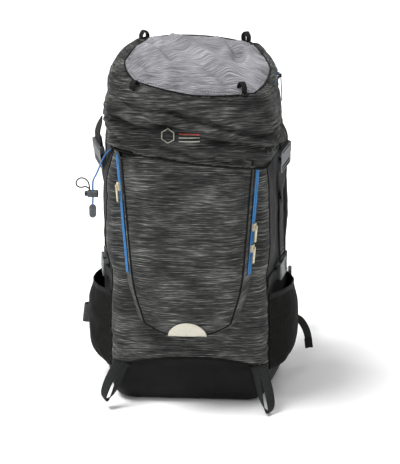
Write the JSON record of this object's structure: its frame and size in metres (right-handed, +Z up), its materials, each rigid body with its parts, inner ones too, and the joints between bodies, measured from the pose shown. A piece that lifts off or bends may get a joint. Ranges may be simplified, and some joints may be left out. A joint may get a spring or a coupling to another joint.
{
  "type": "hiking backpack",
  "caption": "Internal-frame hiking backpack with a hinged lid pocket, puffed front pocket, mesh side pockets, padded harness and hip belt.",
  "frame": {"origin": "centre of the flat base, on the floor", "axes": "+Z up, -Y the outer front of the bag, +Y the side against the wearer's back, +X to the right as seen from the front"},
  "size_m": [0.4159, 0.4265, 0.6259],
  "materials": {
    "heather_fabric": "melange woven polyester",
    "lid_fabric": "melange woven polyester, lighter",
    "black_fabric": "coated ripstop",
    "mesh": "knitted mesh",
    "air_mesh": "spacer mesh over foam",
    "webbing": "woven polypropylene webbing",
    "zip_blue": "woven tape and nylon coil",
    "cord_blue": "braided cord",
    "cord_black": "braided elastic cord",
    "buckle_plastic": "moulded acetal",
    "dark_plastic": "moulded",
    "pull_gold": "moulded pull with a painted slider",
    "reflective": "retroreflective heat transfer",
    "stay_alloy": "flat bar",
    "sheet_plastic": "polyethylene sheet"
  },
  "bodies": {
    "pack": {"base_panel": "black_fabric", "front_panel": "heather_fabric", "left_side_panel": "heather_fabric", "right_side_panel": "heather_fabric", "back_panel": "black_fabric", "collar": "black_fabric", "collar_drawcord": "cord_black", "frame_sheet": "sheet_plastic", "frame_stays": "stay_alloy", "back_pads": "air_mesh", "front_pocket": "heather_fabric", "pocket_zips": "zip_blue", "reflective_patch": "reflective", "left_mesh_pocket": "mesh", "right_mesh_pocket": "mesh", "compression_sockets": "buckle_plastic", "side_webbing": "webbing", "haul_anchors": "webbing", "cord_lock_body": "buckle_plastic", "tie_cord": "cord_blue", "bungee_loop": "cord_black", "cord_tag": "buckle_plastic"},
    "lid": {"lid_shell": "lid_fabric", "lid_floor": "black_fabric", "lid_zips": "zip_blue", "lid_lash_loops": "webbing", "lid_buckle_sockets": "buckle_plastic", "lid_straps": "webbing"},
    "left_lid_plug": {"left_lid_buckle_plug": "buckle_plastic"},
    "left_compression_clip": {"left_compression_plug": "buckle_plastic"},
    "right_lid_plug": {"right_lid_buckle_plug": "buckle_plastic"},
    "right_compression_clip": {"right_compression_plug": "buckle_plastic"},
    "haul_handle": {"haul_handle": "webbing"},
    "left_shoulder": {"left_shoulder_strap": "air_mesh", "left_ladder_lock": "dark_plastic", "left_shoulder_webbing": "webbing"},
    "left_sternum": {"left_sternum_webbing": "webbing", "sternum_socket": "dark_plastic"},
    "left_hip": {"left_hip_wing": "black_fabric", "left_belt_webbing": "webbing", "belt_socket": "dark_plastic"},
    "right_shoulder": {"right_shoulder_strap": "air_mesh", "right_ladder_lock": "dark_plastic", "right_shoulder_webbing": "webbing"},
    "right_sternum": {"right_sternum_webbing": "webbing", "sternum_plug": "dark_plastic"},
    "right_hip": {"right_hip_wing": "black_fabric", "right_belt_webbing": "webbing"},
    "belt_plug": {"belt_plug": "dark_plastic"},
    "left_foot_loop": {"left_foot_loop": "webbing"},
    "right_foot_loop": {"right_foot_loop": "webbing"},
    "right_upper_slider": {"right_upper_slider": "pull_gold"},
    "right_upper_pull": {"right_upper_pull": "pull_gold"},
    "right_lower_slider": {"right_lower_slider": "pull_gold"},
    "right_lower_pull": {"right_lower_pull": "pull_gold"},
    "left_slider": {"left_slider": "pull_gold"},
    "left_pull": {"left_pull": "pull_gold"},
    "lid_slider": {"lid_zip_slider": "dark_plastic"},
    "lid_pull": {"lid_zip_pull": "dark_plastic"},
    "cord_lock_button": {"cord_lock_plunger": "dark_plastic"}
  },
  "joints": [
    {"name": "lid_hinge", "type": "hinge", "parent": "pack", "child": "lid", "pos_m": [0, 0.102, 0.506], "axis": [-1, 0, 0], "range_deg": [0, 95]},
    {"name": "left_lid_plug_slide", "type": "slide", "parent": "pack", "child": "left_lid_plug", "axis": [0, 0.4983, -0.867], "range_m": [0, 0.025]},
    {"name": "left_compression_slide", "type": "slide", "parent": "pack", "child": "left_compression_clip", "axis": [-0.2055, 0.9787, 0], "range_m": [0, 0.025]},
    {"name": "right_lid_plug_slide", "type": "slide", "parent": "pack", "child": "right_lid_plug", "axis": [0, 0.4983, -0.867], "range_m": [0, 0.025]},
    {"name": "right_compression_slide", "type": "slide", "parent": "pack", "child": "right_compression_clip", "axis": [0.2055, 0.9787, 0], "range_m": [0, 0.025]},
    {"name": "haul_handle_swing", "type": "hinge", "parent": "pack", "child": "haul_handle", "pos_m": [0, 0.11, 0.466], "axis": [1, 0, 0], "range_deg": [-60, 45]},
    {"name": "left_shoulder_swing", "type": "hinge", "parent": "pack", "child": "left_shoulder", "pos_m": [-0.06, 0.113, 0.438], "axis": [-0.2249, -0.0025, -0.9744], "range_deg": [-15, 15]},
    {"name": "left_sternum_slide", "type": "slide", "parent": "left_shoulder", "child": "left_sternum", "axis": [-0.2249, -0.0025, -0.9744], "range_m": [-0.028, 0.036]},
    {"name": "left_hip_fold", "type": "hinge", "parent": "pack", "child": "left_hip", "pos_m": [-0.098, 0.116, 0.102], "axis": [0, 0, -1], "range_deg": [-5, 35]},
    {"name": "right_shoulder_swing", "type": "hinge", "parent": "pack", "child": "right_shoulder", "pos_m": [0.06, 0.113, 0.438], "axis": [0.2249, -0.0025, -0.9744], "range_deg": [-15, 15]},
    {"name": "right_sternum_slide", "type": "slide", "parent": "right_shoulder", "child": "right_sternum", "axis": [0.2249, -0.0025, -0.9744], "range_m": [-0.028, 0.036]},
    {"name": "right_hip_fold", "type": "hinge", "parent": "pack", "child": "right_hip", "pos_m": [0.098, 0.116, 0.102], "axis": [0, 0, 1], "range_deg": [-5, 35]},
    {"name": "belt_plug_slide", "type": "slide", "parent": "right_hip", "child": "belt_plug", "axis": [0, -1, 0], "range_m": [0, 0.025]},
    {"name": "left_foot_loop_swing", "type": "hinge", "parent": "pack", "child": "left_foot_loop", "pos_m": [-0.118, -0.114, 0.078], "axis": [-1, 0, 0], "range_deg": [0, 70]},
    {"name": "right_foot_loop_swing", "type": "hinge", "parent": "pack", "child": "right_foot_loop", "pos_m": [0.122, -0.114, 0.078], "axis": [-1, 0, 0], "range_deg": [0, 70]},
    {"name": "right_upper_slider_slide", "type": "slide", "parent": "pack", "child": "right_upper_slider", "axis": [0.069, 0, 0.9976], "range_m": [0, 0.085]},
    {"name": "right_upper_pull_swing", "type": "hinge", "parent": "right_upper_slider", "child": "right_upper_pull", "pos_m": [0.1147, -0.12027, 0.33806], "axis": [-0.3871, -0.9216, 0.0268], "range_deg": [0, 110]},
    {"name": "right_lower_slider_slide", "type": "slide", "parent": "pack", "child": "right_lower_slider", "axis": [0.069, 0, 0.9976], "range_m": [-0.035, 0]},
    {"name": "right_lower_pull_swing", "type": "hinge", "parent": "right_lower_slider", "child": "right_lower_pull", "pos_m": [0.11207, -0.12027, 0.30006], "axis": [-0.3871, -0.9216, 0.0268], "range_deg": [0, 110]},
    {"name": "left_slider_slide", "type": "slide", "parent": "pack", "child": "left_slider", "axis": [-0.069, 0, 0.9976], "range_m": [-0.13, 0.018]},
    {"name": "left_pull_swing", "type": "hinge", "parent": "left_slider", "child": "left_pull", "pos_m": [-0.11934, -0.12027, 0.40506], "axis": [-0.3871, 0.9216, -0.0268], "range_deg": [0, 110]},
    {"name": "lid_slider_slide", "type": "slide", "parent": "lid", "child": "lid_slider", "axis": [0, 1, 0], "range_m": [-0.045, 0.028]},
    {"name": "lid_pull_swing", "type": "hinge", "parent": "lid_slider", "child": "lid_pull", "pos_m": [0.14938, 0.024, 0.56245], "axis": [0, -1, 0], "range_deg": [0, 110]},
    {"name": "cord_lock_press", "type": "slide", "parent": "pack", "child": "cord_lock_button", "axis": [1, 0, 0], "range_m": [0, 0.004], "stiffness_N_per_m": 200, "springref_m": -0.003}
  ]
}
